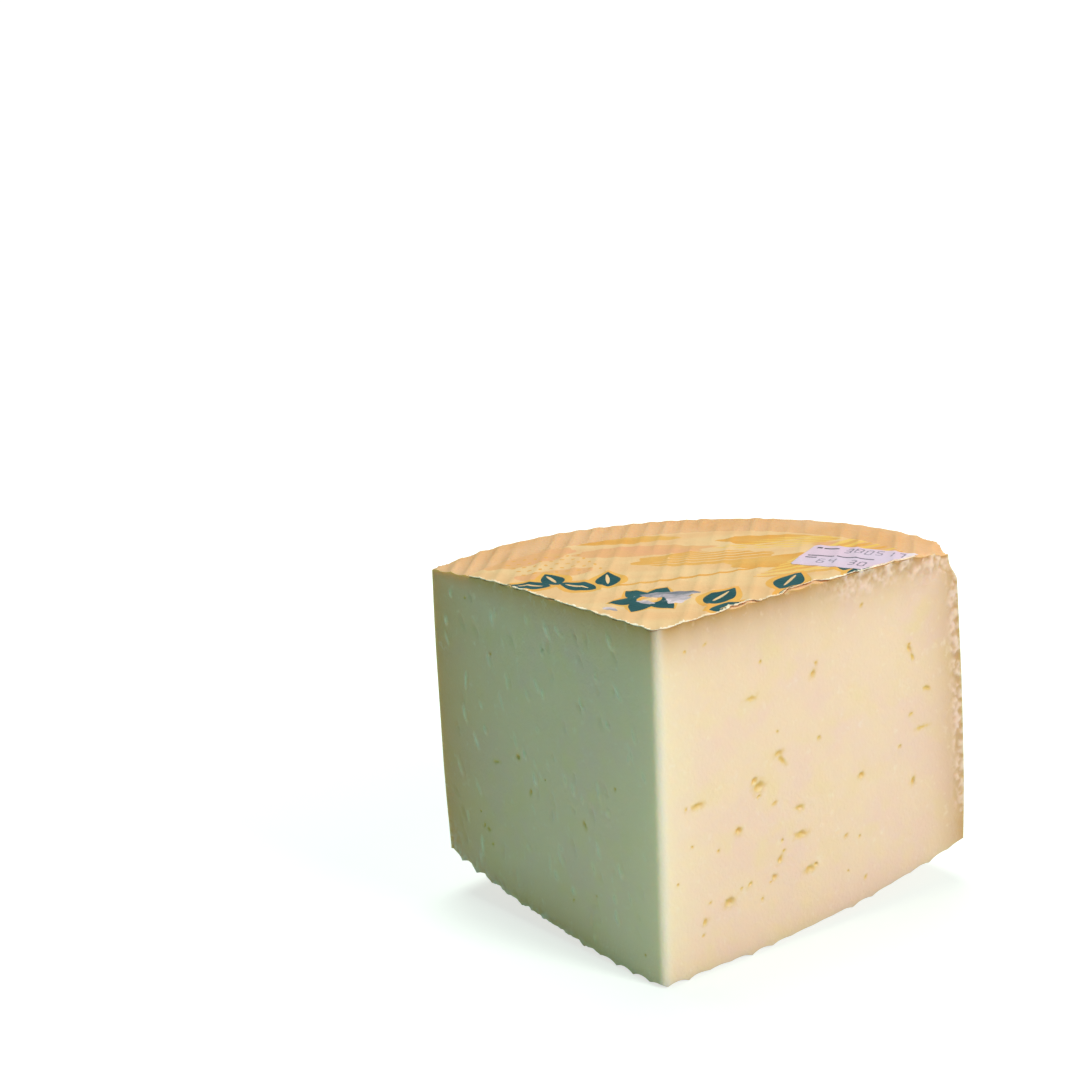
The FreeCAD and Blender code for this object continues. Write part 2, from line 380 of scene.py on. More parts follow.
# Rings of vertices round a hole: their size as a share of the hole's, and their count.
HOLE_RINGS = [(0, 1), (0.4, 6), (0.75, 10), (1.0, 12), (1.3, 12)]
HOLE_REACH = 1.55
SKIN_MARGIN = 0.4
chance = random.Random(7)


def scattered(side, count, shape):
    """That many small marks at random places on a cut, each with a shape drawn by chance."""
    marks = []
    while len(marks) < count:
        z = chance.uniform(*MARK_HEIGHTS)
        distance = chance.uniform(*MARK_DISTANCES)
        lowest = MARK_MARGIN + MARK_FOOT_RISE * (distance / 100) ** 2
        if distance < cut_length(side, z, RIM_RADIUS) - MARK_MARGIN and z > lowest:
            marks.append((side, distance, z, *shape()))
    return marks


def pinhole():
    size = chance.uniform(0.3, 0.5)
    return (size * chance.uniform(1, 1.6), size, chance.uniform(20, 80))


def tear():
    """A mark where the knife dragged the paste, nearly upright on the left cut."""
    return (chance.uniform(1.4, 4.2), chance.uniform(0.5, 1.2), chance.gauss(108, 12))


def smear():
    return (chance.uniform(1.5, 5), chance.uniform(0.7, 1.5), chance.gauss(22, 14))


holes = big_eyes + scattered(1, RIGHT_PINHOLES, pinhole) + scattered(-1, LEFT_PINHOLES, pinhole)
tears = scattered(-1, TEARS, tear)
smears = scattered(1, SMEARS, smear)


def around(mark, u, z):
    """Where places lie in a mark's own ellipse: 0 at its middle, 1 at its edge."""
    side, distance, height, half_long, half_wide, turn = mark
    across, up = u - u_of(side, distance), z - height
    c, s = math.cos(math.radians(turn)), math.sin(math.radians(turn))
    return np.hypot((across * c + up * s) / half_long, (up * c - across * s) / half_wide)


def turned_to(shape, x, y, turn):
    """A flat shape turned by so many degrees, with its origin moved to x, y."""
    c, s = math.cos(math.radians(turn)), math.sin(math.radians(turn))
    return np.asarray(shape) @ np.array([[c, s], [-s, c]]) + [x, y]


def cut_points():
    """Places all over the cuts, in even rows, closer together round every hole."""
    rows = []
    for number, z in enumerate(np.arange(1, WHEEL_HEIGHT, CUT_GRAIN * math.sqrt(3) / 2)):
        left, right = rim_ends(np.clip(z, low_rim, high_rim))
        u = np.arange(left + CUT_GRAIN * (0.7 + number % 2 / 2), right - 0.5, CUT_GRAIN)
        rows.append(np.stack([u, np.full_like(u, z)], 1))
    grid = np.concatenate(rows)
    for mark in holes:
        grid = grid[around(mark, grid[:, 0], grid[:, 1]) > HOLE_REACH]
        side, distance, height, half_long, half_wide, turn = mark
        for size, count in HOLE_RINGS:
            way = np.linspace(0, 2 * math.pi, count, endpoint=False) + size * 2
            ring = np.stack([size * half_long * np.cos(way), size * half_wide * np.sin(way)], 1)
            grid = np.concatenate([grid, turned_to(ring, u_of(side, distance), height, turn)])
    place = along_cuts(grid[:, 0], grid[:, 1])
    above_foot = grid[:, 1] - foot_height(place[:, 0], place[:, 1])
    under_top = top_height(place[:, 0], place[:, 1]) - grid[:, 1]
    return grid[(above_foot > SKIN_MARGIN) & (under_top > SKIN_MARGIN)]


def filled(outline, within):
    """Triangles over the inside of an outline that use the given places within it."""
    loop = [(i, (i + 1) % len(outline)) for i in range(len(outline))]
    flat = [Vector(p) for p in np.concatenate([outline, within])]
    corners, _, faces = geometry.delaunay_2d_cdt(flat, loop, [], 1, 1e-5)[:3]
    corners = np.array(corners, float)
    corners[:len(outline)] = outline
    return corners, faces


cut_outline = np.concatenate([
    np.stack([foot_u, foot_z], 1),
    np.stack([right_rim, rim_z[1]], 1)[1:-1],
    np.stack([top_u, top_z], 1)[::-1],
    np.stack([left_rim, rim_z[0]], 1)[-2:0:-1],
])
cut_flat, cut_faces = filled(cut_outline, cut_points())
cut_mesh = (along_cuts(cut_flat[:, 0], cut_flat[:, 1]), cut_faces)


def bearings(left, right):
    """Even bearings from the wheel's axis, from one end of a row on the rim to the other."""
    return np.linspace(math.atan2(*left[:2]), math.atan2(*right[:2]), RIM_COLUMNS + 1)


def rim_edge(height, end):
    """The heights of the line where the rim meets a face."""
    left = along_cuts(left_rim[end], rim_z[0][end])
    right = along_cuts(right_rim[end], rim_z[1][end])
    bearing = bearings(left, right)
    z = np.full_like(bearing, left[2])
    for _ in range(HEIGHT_ROUNDS):
        radius = rim_radius(z)
        z = height(radius * np.sin(bearing), radius * np.cos(bearing))
    z[[0, -1]] = left[2], right[2]
    return z


low_edge, high_edge = rim_edge(foot_height, 0), rim_edge(top_height, -1)
rim_rows = []
for row, share in enumerate(rise):
    z = low_edge + (high_edge - low_edge) * share
    left, right = along_cuts(left_rim[row], z[0]), along_cuts(right_rim[row], z[-1])
    bearing = bearings(left, right)
    radius = rim_radius(z)
    line = np.stack([radius * np.sin(bearing), radius * np.cos(bearing), z], 1)
    line[0], line[-1] = left, right
    rim_rows.append(line)
wide = RIM_COLUMNS + 1
rim_faces = [
    (row * wide + i, (row + 1) * wide + i, (row + 1) * wide + i + 1, row * wide + i + 1)
    for row in range(RIM_ROWS) for i in range(RIM_COLUMNS)
]
rim_mesh = (np.concatenate(rim_rows), rim_faces)

# The two faces of the wheel: how closely their places are set, and how far in from the cuts.
FACE_GRAIN = 1.6
FACE_REACH = (-13, 96)
FACE_MARGIN = 0.35
CORNER_MARGIN = 0.3
RIM_ARC_STEPS = 8
RIM_ARC = np.linspace(-1, 1, 130)


def fluted_face(u, z, rim, height, corner, facing):
    """One face of the wheel, its places set in columns along the flutes."""
    edge = np.concatenate([along_cuts(u, z), rim[-2:0:-1]])
    grid = flute_grid(ALL_RIDGES, np.arange(*FACE_REACH, FACE_GRAIN))
    within = [grid[np.hypot(*grid.T) < RIM_RADIUS - corner - CORNER_MARGIN]]
    for step in np.sin(np.linspace(0, math.pi / 2, RIM_ARC_STEPS))[:-1]:
        radius = RIM_RADIUS - corner + corner * step
        within.append(radius * np.stack([np.sin(RIM_ARC), np.cos(RIM_ARC)], 1))
    within = np.concatenate(within)
    middle = near_edge(z[len(z) // 2])
    for side in (-1, 1):
        within = within[(within - middle) @ cut_facing(side) < -FACE_MARGIN]
    corners, faces = filled(edge[:, :2], within)
    points = np.column_stack([corners, height(corners[:, 0], corners[:, 1])])
    points[:len(edge)] = edge
    return points, faces if facing > 0 else [tuple(reversed(f)) for f in faces]


top_mesh = fluted_face(top_u, top_z, rim_rows[-1], top_height, TOP_CORNER, 1)
foot_mesh = fluted_face(foot_u, foot_z, rim_rows[0], foot_height, FOOT_CORNER, -1)


def joined(parts):
    """The parts as one skin: places that they share become one vertex."""
    numbers, points, faces, part_of = {}, [], [], []
    for part, (corners, sides) in enumerate(parts):
        own = []
        for p in corners:
            key = tuple(np.round(p, 3))
            if key not in numbers:
                numbers[key] = len(points)
                points.append(p)
            own.append(numbers[key])
        faces += [tuple(own[i] for i in side) for side in sides]
        part_of += [part] * len(sides)
    return np.array(points), faces, part_of


points, faces, part_of = joined([cut_mesh, rim_mesh, top_mesh, foot_mesh])
cheese_mesh = bpy.data.meshes.new("cheese")
cheese_mesh.from_pydata(((points + wheel_axis) * MM).tolist(), [], faces)
normals = np.array([tuple(n.vector) for n in cheese_mesh.vertex_normals])

# Relief of the paste.  Places on the cuts come first among the vertices, the rind follows.
# Soft lumps are given as height, size and seed.
CUT_LUMPS = [(0.12, 24, 3), (0.03, 3.4, 4)]
GRAIN_SIZE_AND_SEED = (1.1, 6)
GRAIN_HEIGHT = 0.012
RIND_LUMPS = [(0.05, 5, 11), (0.02, 1.5, 12)]
# Ranges over which the paste is crumbled: near the upper face, out from the near edge, in
# from the rind, and up from the foot.
RIGHT_CORNER_DEPTH = (4, 9)
RIGHT_CORNER_FROM = (50, 68)
RIGHT_SIDE_WIDTH = (2, 5.5)
RIGHT_SIDE_FROM = (14, 30)
LEFT_CORNER_WIDTH = (2, 9)
LEFT_CORNER_HEIGHT = (14, 24)
LEFT_FOOT_DEPTH = (0.8, 3.5)
LEFT_FOOT_FROM = (20, 45)
LEFT_FOOT_SHARE = 0.6
CRUMB_HEIGHT = 0.6
CRUMB_SINK = 0.2


def lumps(places, layers):
    return sum(height * cloud(places, size, seed) for height, size, seed in layers)


on_cut = len(cut_flat)
u, z = cut_flat.T
cut_places = points[:on_cut]
to_top = top_height(cut_places[:, 0], cut_places[:, 1]) - z
to_foot = z - foot_height(cut_places[:, 0], cut_places[:, 1])
left_end, right_end = rim_ends(np.clip(z, low_rim, high_rim))
to_rim = np.minimum(u - left_end, right_end - u)
grain_of_paste = cloud(cut_places, *GRAIN_SIZE_AND_SEED)

eye, pale = np.zeros(on_cut), np.zeros(on_cut)
cut_lift = lumps(cut_places, CUT_LUMPS) + GRAIN_HEIGHT * grain_of_paste
for mark in holes:
    near = around(mark, u, z) * (1 + 0.5 * grain_of_paste)
    *_, half_wide, _ = mark
    cut_lift -= EYE_DEPTH * half_wide * (1 - ease(near, 0.1, 1.2))
    eye = np.maximum(eye, 1 - ease(near, 0.1, 2.0))
for mark in tears:
    near = around(mark, u, z) * (1 + 0.3 * grain_of_paste)
    height = chance.choice(TEAR_HEIGHTS)
    cut_lift += height * (1 - ease(near, 0, 1.25))
    # Raised tears are made glossier, and also paler as a painted highlight.
    if height > 0:
        pale = np.maximum(pale, chance.uniform(*TEAR_GLOSS_AND_HIGHLIGHT) * (1 - ease(near, 0.1, 1.1)))
for mark in smears:
    cut_lift += chance.choice(SMEAR_HEIGHTS) * (1 - ease(around(mark, u, z), 0, 1.3))

# The paste crumbled along the rind on the right, and a little at the foot of the left cut.
breaking = cloud(cut_places, 5, 8)
zones = np.maximum.reduce([
    (1 - ease(to_top + 2 * breaking, *RIGHT_CORNER_DEPTH)) * ease(u, *RIGHT_CORNER_FROM),
    (1 - ease(to_rim + 1.5 * breaking, *RIGHT_SIDE_WIDTH)) * (u > 0) * ease(z, *RIGHT_SIDE_FROM),
    (1 - ease(to_rim, *LEFT_CORNER_WIDTH)) * (u < 0) * (1 - ease(z, *LEFT_CORNER_HEIGHT)),
    LEFT_FOOT_SHARE * (1 - ease(to_foot, *LEFT_FOOT_DEPTH)) * ease(-u, *LEFT_FOOT_FROM),
])
crumbling = np.clip(zones * (1.2 + breaking), 0, 1)
crumbs = np.clip(lumps(cut_places, [(0.9, 2.4, 9), (0.7, 1.2, 10)]), -1, 1)
cut_lift += crumbling * (CRUMB_HEIGHT * crumbs - CRUMB_SINK) * ease(to_rim, 0, 1.2)

# Relief of the rind.  The strap of the mould left soft bands round the rim.  Under the label
# the faces stay smooth.  The upper right corner is worn down.
BAND_PITCH = 3.8
BAND_HEIGHT = 0.11
STREAK_HEIGHT = 0.03
STREAK_LENGTH = 14
LABEL_RADIUS = 77.5
LABEL_MIDDLE = np.array([2.4, 0])
WORN_CORNER_DEPTH = 2.4
WORN_CORNER_REACH = (0.5, 9)

rind_places = points[on_cut:]
radius = np.hypot(rind_places[:, 0], rind_places[:, 1])
on_the_rim = ease(radius, RIM_RADIUS - 2, RIM_RADIUS - 0.3) * (1 - ease(rind_places[:, 2], 91, 97))
bands = np.sin(rind_places[:, 2] * 2 * math.pi / BAND_PITCH + 3 * cloud(rind_places, 30, 15))
bands *= 0.6 + 0.6 * cloud(rind_places, 18, 16)
streaks = cloud(rind_places / [STREAK_LENGTH, STREAK_LENGTH, 1], 1.3, 13)
rind_lift = lumps(rind_places, RIND_LUMPS)
rind_lift += on_the_rim * (BAND_HEIGHT * bands + STREAK_HEIGHT * streaks)
from_label = np.hypot(*(rind_places[:, :2] - LABEL_MIDDLE).T)
bare = ease(from_label, LABEL_RADIUS - 1, LABEL_RADIUS + 1.5)
rind_lift *= np.where(rind_places[:, 2] > high_rim, bare, 1)
lift = np.concatenate([cut_lift, rind_lift])

worn_corner = along_cuts(right_rim[-1], rim_z[1][-1])
from_corner = np.linalg.norm(points - worn_corner, axis=1) * (1 + 0.25 * cloud(points, 6, 14))
inwards = points.mean(0) - worn_corner
inwards /= np.linalg.norm(inwards)
worn = WORN_CORNER_DEPTH * (1 - ease(from_corner, *WORN_CORNER_REACH))
points += normals * lift[:, None] + worn[:, None] * inwards
points[:, 2] = np.maximum(points[:, 2], 0)
cheese_mesh.vertices.foreach_set("co", ((points + wheel_axis) * MM).ravel())

# Where the paste takes another colour: golden beside the rind, with a painted highlight along
# the rounded near edge, creamy next to it, and darker gold beside the rind on the right cut.
TINT_UNDER_TOP = 5.5
TINT_AT_RIM = 0.85
TINT_LEFT_WIDTH = 20
TINT_RIGHT_WIDTH = 7
HIGHLIGHT_WIDTH = 1.5
CREAMY_WIDTH = 9

at_left = ease(-u, 10, 45)
rind_width = np.where(u < 0, TINT_LEFT_WIDTH, TINT_RIGHT_WIDTH)
rind_near = np.maximum.reduce([
    np.exp(-np.maximum(to_top, 0) / TINT_UNDER_TOP),
    TINT_AT_RIM * np.exp(-np.maximum(to_rim, 0) / rind_width),
    (0.25 + 0.3 * at_left) * np.exp(-np.maximum(to_foot, 0) / (4 + 6 * at_left)),
])
shares = {
    "eye": eye,
    "pale": pale,
    "rind_near": rind_near,
    "crumbled": crumbling * ease(crumbs, -0.3, 0.5),
    "edge_highlight": np.exp(-((u - 0.4) / HIGHLIGHT_WIDTH) ** 2),
    "creamy": np.exp(-np.abs(u) / CREAMY_WIDTH),
    "on_right_cut": ease(u, -3, 0.5),
}
marks = {name: np.concatenate([share, 0 * on_the_rim]) for name, share in shares.items()}
marks["rim_side"] = np.concatenate([0 * u, on_the_rim])
for name, values in marks.items():
    cheese_mesh.attributes.new(name, "FLOAT", "POINT").data.foreach_set("value", values)


def new_finish(name):
    """A material with its tree and its shader."""
    finish = bpy.data.materials.new(name)
    finish.use_nodes = True
    return finish, finish.node_tree, finish.node_tree.nodes["Principled BSDF"]


def painted_on(tree, name):
    """The share of something that was marked on the vertices under that name."""
    found = new_node(tree, "Attribute")
    found.attribute_name = name
    return found.outputs["Fac"]


def patches(tree, size, low, high, detail=2.0, stretch=(1, 1, 1)):
    """Soft patches of a size in millimetres: 0 where the cloud is under low, 1 above high."""
    place = new_node(tree, "TexCoord").outputs["Object"]
    place = new_node(tree, "Mapping", place, Scale=stretch).outputs["Vector"]
    pattern = new_node(tree, "TexNoise", place, Scale=1 / (size * MM), Detail=detail)
    share = new_node(tree, "MapRange", pattern.outputs["Fac"], From_Min=low, From_Max=high)
    return share.outputs["Result"]


def part_of_it(tree, share, most):
    """A share that goes up to most instead of 1."""
    product = new_node(tree, "Math", share)
    product.operation = "MULTIPLY"
    product.inputs[1].default_value = most
    return product.outputs["Value"]


def over(tree, under, share, top):
    """A colour laid over another by a share."""
    mix = new_node(tree, "Mix", share)
    mix.data_type = "RGBA"
    mix.clamp_factor = True
    for socket, value in ((mix.inputs[6], under), (mix.inputs[7], top)):
        if isinstance(value, (list, tuple)):
            socket.default_value = value
        else:
            link(tree, value, socket)
    return mix.outputs[2]


def layered(tree, ground, layers):
    """A ground colour with more colours laid over it, each by its own share."""
    for share, top in layers:
        ground = over(tree, ground, share, top)
    return ground


def rough_surface(tree, shader, height, depth):
    """Fine relief, depth in millimetres."""
    bump = new_node(tree, "Bump", Strength=1, Distance=depth * MM)
    link(tree, height, bump.inputs["Height"])
    link(tree, bump.outputs["Normal"], shader.inputs["Normal"])


def glow_through(shader, weight, radius, reach):
    """Light that enters the surface and spreads under it, reach in millimetres."""
    shader.inputs["Subsurface Weight"].default_value = weight
    shader.inputs["Subsurface Radius"].default_value = radius
    shader.inputs["Subsurface Scale"].default_value = reach * MM


# The paste: ivory soft patches, fat-white specks, glossier raised tears with a painted highlight.
PASTE = colour(245, 216, 186)
PINKER = colour(244, 212, 190)
YELLOWER = colour(243, 216, 176)
CREAMY = colour(253, 231, 196)
GOLDEN = colour(228, 168, 96)
GOLDEN_DARKER = colour(190, 143, 80)
SPECKS = colour(252, 236, 216)
TEAR_HIGHLIGHT = colour(252, 240, 214)
CRUMBS = colour(240, 208, 188)
EYE = colour(228, 190, 106)
NEAR_EDGE_HIGHLIGHT = colour(240, 234, 226)
DULL, GLOSSY = 0.36, 0.1

paste, tree, shader = new_finish("paste")
paste_colour = layered(tree, PASTE, [
    (patches(tree, 16, 0.45, 0.62), PINKER),
    (patches(tree, 11, 0.52, 0.72), YELLOWER),
    (painted_on(tree, "creamy"), CREAMY),
    (painted_on(tree, "rind_near"), over(tree, GOLDEN, painted_on(tree, "on_right_cut"), GOLDEN_DARKER)),
    (part_of_it(tree, patches(tree, 2.6, 0.62, 0.8), 0.35), SPECKS),
    (painted_on(tree, "pale"), TEAR_HIGHLIGHT),
    (painted_on(tree, "crumbled"), CRUMBS),
    # The eyes take a golden tone that is strongest in the hollow: partly the paste's own tone,
    # partly painted shade.
    (painted_on(tree, "eye"), EYE),
    # A painted highlight along the rounded near edge.
    (part_of_it(tree, painted_on(tree, "edge_highlight"), 0.45), NEAR_EDGE_HIGHLIGHT),
])
link(tree, paste_colour, shader.inputs["Base Color"])
wet = new_node(tree, "MapRange", painted_on(tree, "pale"), To_Min=DULL, To_Max=GLOSSY)
link(tree, wet.outputs["Result"], shader.inputs["Roughness"])
glow_through(shader, 0.5, (1.0, 0.72, 0.3), 4.5)
rough_surface(tree, shader, patches(tree, 0.9, 0.2, 0.8, 3), 0.1)

# The rind: straw yellow on the faces, pinker round the rim, with small darker spots.
STRAW = colour(229, 171, 113)
STRAW_PALER = colour(233, 181, 132)
RIM = colour(237, 194, 160)
RIM_PINKER = colour(232, 185, 162)
SPOTS = colour(222, 176, 130)

rind, tree, shader = new_finish("rind")
rim_colour = over(tree, RIM, patches(tree, 26, 0.35, 0.65), RIM_PINKER)
rind_colour = layered(tree, STRAW, [
    (patches(tree, 20, 0.35, 0.65), STRAW_PALER),
    (painted_on(tree, "rim_side"), rim_colour),
    (part_of_it(tree, patches(tree, 3, 0.5, 0.7, 4), 0.25), SPOTS),
])
link(tree, rind_colour, shader.inputs["Base Color"])
shader.inputs["Roughness"].default_value = 0.5
glow_through(shader, 0.35, (1.0, 0.7, 0.35), 5)
rough_surface(tree, shader, patches(tree, 1.4, 0.25, 0.75, 4), 0.12)

cheese_mesh.materials.append(paste)
cheese_mesh.materials.append(rind)
cheese_mesh.polygons.foreach_set("material_index", [min(part, 1) for part in part_of])
cheese_mesh.shade_smooth()
cheese_mesh.set_sharp_from_angle(angle=math.radians(50))
cheese = bpy.data.objects.new("cheese", cheese_mesh)
put_in_scene(cheese)
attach(cheese, "root")
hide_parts("cheese_wedge")

# The label.  A round printed paper, pressed wet onto the upper face so that it lies in the
# flutes, and cut through with the cheese.  Its cut edge is frayed, it is torn at the right
# cut and scuffed near the tip.  The print is a plain ornament of leaves, rays and dots.
LABEL_THICKNESS = 0.25
LABEL_CLEARANCE = 0.03
LABEL_GRAIN = 1.3
LABEL_REACH = (-10, 80)
# Its outline: the fraying of the cuts, the round edge and the rounded tip.
FRAY_STEP = 0.4
FRAY_START = 3.2
OVERHANG = 0.16
FRAY_FINE = (0.22, 1.3, 21)
FRAY_COARSE = (0.25, 5, 24)
RAGGED_TEARS = (0.4, 1.1, 27)
ROUND_EDGE_POINTS = 140
TIP_RADIUS = 2.9
TIP_SET_BACK = 3.75
TIP_HALF_TURN = 0.7
# Bites out of the paper along each cut: middle, half width and depth.
LEFT_BITES = [(44, 2, 0.6), (63, 1.6, 0.5)]
RIGHT_BITES = [(29, 5.5, 1.5), (50, 8.5, 1.9), (66, 2.5, 0.7)]


def on_cut_line(side, distance, outwards):
    """A place over a cut: its distance from the near edge, and how far it stands out."""
    run = np.outer(distance, cut_way(side)) + np.outer(outwards, cut_facing(side))
    return near_edge(WHEEL_HEIGHT) + run


def label_end(side):
    """Where the round edge of the label meets a cut."""
    distance = np.arange(40, 110, 0.05)
    reach = np.hypot(*(on_cut_line(side, distance, 0 * distance) - LABEL_MIDDLE).T)
    return distance[np.argmin(abs(reach - LABEL_RADIUS))]


def cut_side(side, bites):
    """The frayed edge of the label along a cut, from its tip to the round edge."""
    distance = np.arange(FRAY_START, label_end(side), FRAY_STEP)
    spots = np.stack([distance, 0 * distance, 0 * distance], 1)
    out = OVERHANG + sum(
        height * cloud(spots, size, seed + side) for height, size, seed in (FRAY_FINE, FRAY_COARSE)
    )
    height, size, seed = RAGGED_TEARS
    ragged = 1 + height * cloud(spots, size, seed + side)
    for middle, half, depth in bites:
        out -= depth * ragged * (1 - ease(abs(distance - middle), half * 0.55, half))
    return on_cut_line(side, distance, out)


def label_outline():
    left, right = cut_side(-1, LEFT_BITES), cut_side(1, RIGHT_BITES)
    bearing = [math.atan2(*(edge[-1] - LABEL_MIDDLE)) for edge in (right, left)]
    way = np.linspace(*bearing, ROUND_EDGE_POINTS)[1:-1]
    round_edge = LABEL_MIDDLE + LABEL_RADIUS * np.stack([np.sin(way), np.cos(way)], 1)
    way = np.linspace(-TIP_HALF_TURN, TIP_HALF_TURN, 7)
    tip_middle = near_edge(WHEEL_HEIGHT) + [0, TIP_SET_BACK]
    tip = tip_middle + TIP_RADIUS * np.stack([np.sin(way), -np.cos(way)], 1)
    return np.concatenate([tip, right, round_edge, left[::-1]])


# The shapes of the print, each a closed outline.
def leaf(x, y, long, wide, turn, start=0.0):
    """A pointed leaf from its stalk at x, y."""
    share = np.linspace(0, 1, 15)
    half = wide / 2 * np.sin(math.pi * share ** 0.8)
    along = start + share * long
    side = np.concatenate([np.stack([along, half], 1), np.stack([along, -half], 1)[-2:0:-1]])
    return turned_to(side, x, y, turn)


def oval(x, y, half_long, half_wide, turn=0, ragged=0.0, count=26):
    way = np.linspace(0, 2 * math.pi, count, endpoint=False)
    rounded = np.stack([np.cos(way), np.sin(way)], 1)
    size = 1 + ragged * cloud(np.column_stack([rounded, 0 * way + x]), 0.5, y)
    return turned_to(rounded * [half_long, half_wide] * size[:, None], x, y, turn)


def stroke(x, y, long, wide, turn, bend):
    """A curved brush stroke that swells and tapers."""
    share = np.linspace(0, 1, 13)
    middle = np.stack([share * long, bend * share ** 2], 1)
    half = wide / 2 * np.sin(math.pi * np.clip(share * 0.96 + 0.02, 0, 1)) ** 0.5
    swell = np.outer(half, [0, 1])
    return turned_to(np.concatenate([middle + swell, (middle - swell)[::-1]]), x, y, turn)


# The inks, by number: the place of each in the list of the label's materials.
CREAM, PEACH, AMBER, YELLOW, TEAL, HALO, FRAYED, SCUFFED = range(8)
# Fields of colour: ink, x, y, half length, half width and turn.
FIELDS = [
    (PEACH, -46, 56, 15, 6, 30), (PEACH, -14, 60, 20, 5, 4), (PEACH, -36, 40, 11, 4, 20),
    (PEACH, 46, 58, 12, 4, -20), (AMBER, -20, 71, 15, 3.2, 6), (AMBER, 24, 67, 18, 4.5, -6),
    (AMBER, 4, 51, 20, 6.5, 3), (AMBER, 27, 46, 15, 6, 10),
]
FIELD_RAGGED = 0.3
STRIPES = 6
RAYS = 10
DOT_ROWS, DOTS_IN_A_ROW = 5, 8
# Leaves and petals: x and y of the stalk, length, width and turn.
LEAVES = [
    (-35, 29, 12, 6.5, 170), (-33, 30, 12, 6.5, 118), (-22, 25, 13, 7, 150), (-19, 27, 13, 7, 98),
    (11, 3, 15, 8, 22), (10, 8, 15, 8, 66), (28, 14.5, 15, 8, 30), (28, 20, 15, 8, 72),
    (45, 31, 13, 7, 34), (44, 35, 12, 6, 80),
]
FLOWER = (-6, 14)
PETALS = [(*FLOWER, 10, 6.4, 60 * number + 12) for number in range(6)]
PETAL_GAP = 1.2
HALO_WIDTH = 1.8
HALO_WIDER = 4.2
VEIN_WIDTH = 1.1
# Scuffed patches: x, y, half length, half width, turn, raggedness and number of corners.
SCUFFS = [
    (-1, 17.5, 7.5, 2.6, 8, 0.5, 44), (1.5, 13.5, 3.5, 3.2, 30, 0.5, 30),
    (-6.5, 11.5, 2.6, 1.2, -30, 0.5, 22), (-15.5, 6.8, 2.2, 1.0, -30, 0.4, 16),
]

label_print = [(ink, oval(*place, FIELD_RAGGED)) for ink, *place in FIELDS]
for number in range(STRIPES):
    cream = stroke(-12 + 2.5 * number, 46 + 2.3 * number, 36, 0.9, 3 + 2 * number, 3)
    yellow = stroke(6 + 3.2 * number, 61 + 1.5 * number, 26, 1.1, -8 + number, 2)
    label_print += [(CREAM, cream), (YELLOW, yellow)]
for number in range(RAYS):
    turn, bend = 10 + 4.6 * number, 8 - number
    ray = stroke(20 + 0.9 * number, 31 + 1.5 * number, 46 - number, 2.0, turn, bend)
    label_print.append((YELLOW if number % 2 else AMBER, ray))
for row in range(DOT_ROWS):
    for number in range(DOTS_IN_A_ROW):
        x, y = -53 + number * 3.0 + row * 2.1, 54 - row * 3.4 + number * 0.6
        label_print.append((AMBER, oval(x, y, 0.8, 0.5, 40 * number, 0.2, 7)))
label_print.append((AMBER, stroke(-30, 24, 58, 1.6, 12, 6)))
for x, y, long, wide, turn in LEAVES + PETALS:
    halo = leaf(x, y, long + 2 * HALO_WIDTH, wide + HALO_WIDER, turn, -HALO_WIDTH)
    label_print.append((HALO, halo))
for x, y, long, wide, turn in LEAVES:
    vein = stroke(long * 0.2, 0, long * 0.6, VEIN_WIDTH, 0, 0.3)
    label_print += [(TEAL, leaf(x, y, long, wide, turn)), (CREAM, turned_to(vein, x, y, turn))]
for petal in PETALS:
    label_print.append((TEAL, leaf(*petal, PETAL_GAP)))
label_print += [(HALO, oval(*FLOWER, 3.4, 3.2)), (CREAM, oval(*FLOWER, 2.2, 2))]
label_print += [(SCUFFED, oval(*scuff)) for scuff in SCUFFS]

# The sheet is cut up along every outline of the print, so that a triangle has one ink.
PRINT_STEP = 0.8
SLIVER = 2e-4


def inside(outline, places):
    """True for the places that lie inside a closed outline."""
    x, y = places.T
    found = np.zeros(len(places), bool)
    for (ax, ay), (bx, by) in zip(outline, np.roll(outline, -1, 0)):
        if ay == by:
            continue
        crosses = (ay > y) != (by > y)
        found ^= crosses & (x < (bx - ax) * (y - ay) / (by - ay) + ax)
    return found


def closely(shape, step):
    """The same closed outline with a corner at least every step."""
    line = []
    for start, end in zip(shape, np.roll(shape, -1, 0)):
        count = max(1, math.ceil(np.hypot(*(end - start)) / step))
        line += [start + (end - start) * i / count for i in range(count)]
    return np.array(line)


def without_slivers(corners, triangles):
    """The triangles less those along the outline that are too thin to be paper."""
    loose = np.array([True])
    while loose.any():
        first, second, third = corners[triangles].transpose(1, 0, 2)
        thin = np.abs(np.cross(second - first, third - first)) < SLIVER
        edges = np.sort(triangles[:, [0, 1, 1, 2, 2, 0]].reshape(-1, 2), 1)
        _, which, shared = np.unique(edges, axis=0, return_inverse=True, return_counts=True)
        loose = thin & (shared[which.ravel()] == 1).reshape(-1, 3).any(1)
        triangles = triangles[~loose]
    return triangles


def printed_sheet(outline, prints, ground, grid):
    """Corners, triangles and the ink of each triangle of a flat sheet with its print."""
    flat, loops = [], []
    for shape in [outline] + [closely(shape, PRINT_STEP) for _, shape in prints]:
        first = len(flat)
        flat += [Vector(p) for p in shape]
        loops += [(first + i, first + (i + 1) % len(shape)) for i in range(len(shape))]
    flat += [Vector(p) for p in grid[inside(outline, grid)]]
    corners, _, triangles = geometry.delaunay_2d_cdt(flat, loops, [], 0, 1e-4)[:3]
    corners, triangles = np.array(corners, float), np.array(triangles)
    within = inside(outline, corners[triangles].mean(1))
    triangles = without_slivers(corners, triangles[within])
    middles = corners[triangles].mean(1)
    inks = np.full(len(triangles), ground)
    for ink, shape in prints:
        inks[inside(shape, middles)] = ink
    used = np.unique(triangles)
    number = np.full(len(corners), -1)
    number[used] = np.arange(len(used))
    return corners[used], number[triangles], inks


